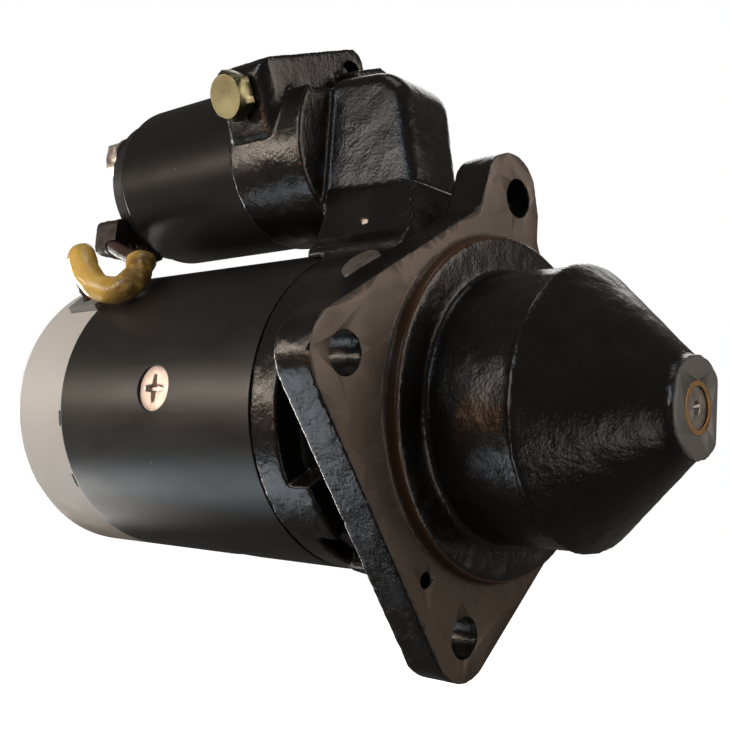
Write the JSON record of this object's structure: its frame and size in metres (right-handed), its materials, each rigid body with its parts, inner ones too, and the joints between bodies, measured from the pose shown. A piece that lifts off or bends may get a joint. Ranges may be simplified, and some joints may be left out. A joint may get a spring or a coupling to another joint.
{
  "type": "starter motor",
  "caption": "Pre-engaged starter motor with a solenoid clamped above a cylindrical body, a lugged mounting flange and a closed conical nose.",
  "frame": {"origin": "on the shaft axis, in the plane of the flange's mounting face", "axes": "+X along the shaft towards the nose, +Z towards the solenoid, +Y to the side the ring gear opening faces"},
  "size_m": [0.2777, 0.1463, 0.2299],
  "materials": {
    "cast_black": "gloss black paint over cast iron, bare machined faces",
    "tube_black": "satin black paint",
    "cover_grey": "satin light grey",
    "steel": "turned",
    "dark_steel": "phosphated",
    "laminations": "stacked laminations",
    "zinc": "bright zinc plate",
    "zinc_yellow": "yellow zinc plate",
    "bronze": "sintered bronze",
    "copper": "bare copper",
    "winding": "varnished copper",
    "carbon": "copper graphite",
    "moulding_black": "moulded",
    "rubber_black": "soft moulded",
    "rubber_grey": "soft moulded",
    "sleeve_yellow": "varnished woven sleeve",
    "braid": "braided copper"
  },
  "bodies": {
    "casing": {"drive_end_housing": "cast_black", "nose_casting": "cast_black", "nose_bush": "bronze", "yoke": "tube_black", "field_coils": "winding", "rear_cover": "cover_grey", "rear_bush": "bronze", "through_bolt_1": "zinc", "through_bolt_2": "zinc", "brush_plate": "dark_steel", "lead_grommet": "rubber_grey", "centre_bearing_plate": "dark_steel", "lever_pivot_pin": "zinc", "solenoid_case": "tube_black", "solenoid_coil": "winding", "solenoid_guide_tube": "bronze", "solenoid_core": "steel", "solenoid_cap": "moulding_black", "battery_stud": "copper", "battery_washer": "zinc", "battery_nut": "zinc", "motor_stud": "copper", "motor_nut": "zinc", "lead_terminal": "copper", "spade_terminal": "zinc", "return_spring": "steel", "lock_bolt": "zinc_yellow", "housing_screw": "zinc", "field_lead": "braid", "lead_sleeve": "sleeve_yellow", "lead_boot": "rubber_black", "pole_shoe_1": "dark_steel", "pole_screw_1": "zinc", "brush_1": "carbon", "brush_spring_1": "steel", "pole_shoe_2": "dark_steel", "pole_screw_2": "zinc", "brush_2": "carbon", "brush_spring_2": "steel", "pole_shoe_3": "dark_steel", "pole_screw_3": "zinc", "brush_3": "carbon", "brush_spring_3": "steel", "pole_shoe_4": "dark_steel", "pole_screw_4": "zinc", "brush_4": "carbon", "brush_spring_4": "steel"},
    "armature": {"armature_shaft": "steel", "armature_core": "laminations", "armature_winding": "winding", "commutator": "copper", "stop_ring": "steel"},
    "drive": {"drive_sleeve": "steel", "clutch_shell": "dark_steel", "clutch_cover": "steel"},
    "pinion_gear": {"pinion": "steel"},
    "lever": {"shift_lever": "dark_steel"},
    "plunger_body": {"plunger": "steel", "plunger_link": "dark_steel"},
    "contact": {"contact_disc": "copper"}
  },
  "joints": [
    {"name": "armature_spin", "type": "hinge", "parent": "casing", "child": "armature", "pos_m": [0, 0, 0], "axis": [1, 0, 0], "continuous": true},
    {"name": "drive_slide", "type": "slide", "parent": "armature", "child": "drive", "axis": [1, 0, 0], "range_m": [0, 0.0167]},
    {"name": "pinion_overrun", "type": "hinge", "parent": "drive", "child": "pinion_gear", "pos_m": [0, 0, 0], "axis": [1, 0, 0], "continuous": true},
    {"name": "plunger_slide", "type": "slide", "parent": "casing", "child": "plunger_body", "axis": [-1, 0, 0], "range_m": [0, 0.011], "stiffness_N_per_m": 2500, "springref_m": -0.006, "deforming": ["return_spring"]},
    {"name": "lever_swing", "type": "hinge", "parent": "casing", "child": "lever", "pos_m": [-0.044, 0, 0.06], "axis": [0, -1, 0], "range_deg": [0, 15.9]},
    {"name": "contact_slide", "type": "slide", "parent": "casing", "child": "contact", "axis": [-1, 0, 0], "range_m": [0, 0.0029]}
  ],
  "couplings": [
    {"joint": "lever_swing", "follows": "plunger_slide", "rad_per_m": 25.1},
    {"joint": "drive_slide", "follows": "plunger_slide", "ratio": 1.509},
    {"joint": "contact_slide", "follows": "plunger_slide", "ratio": 0.26}
  ]
}
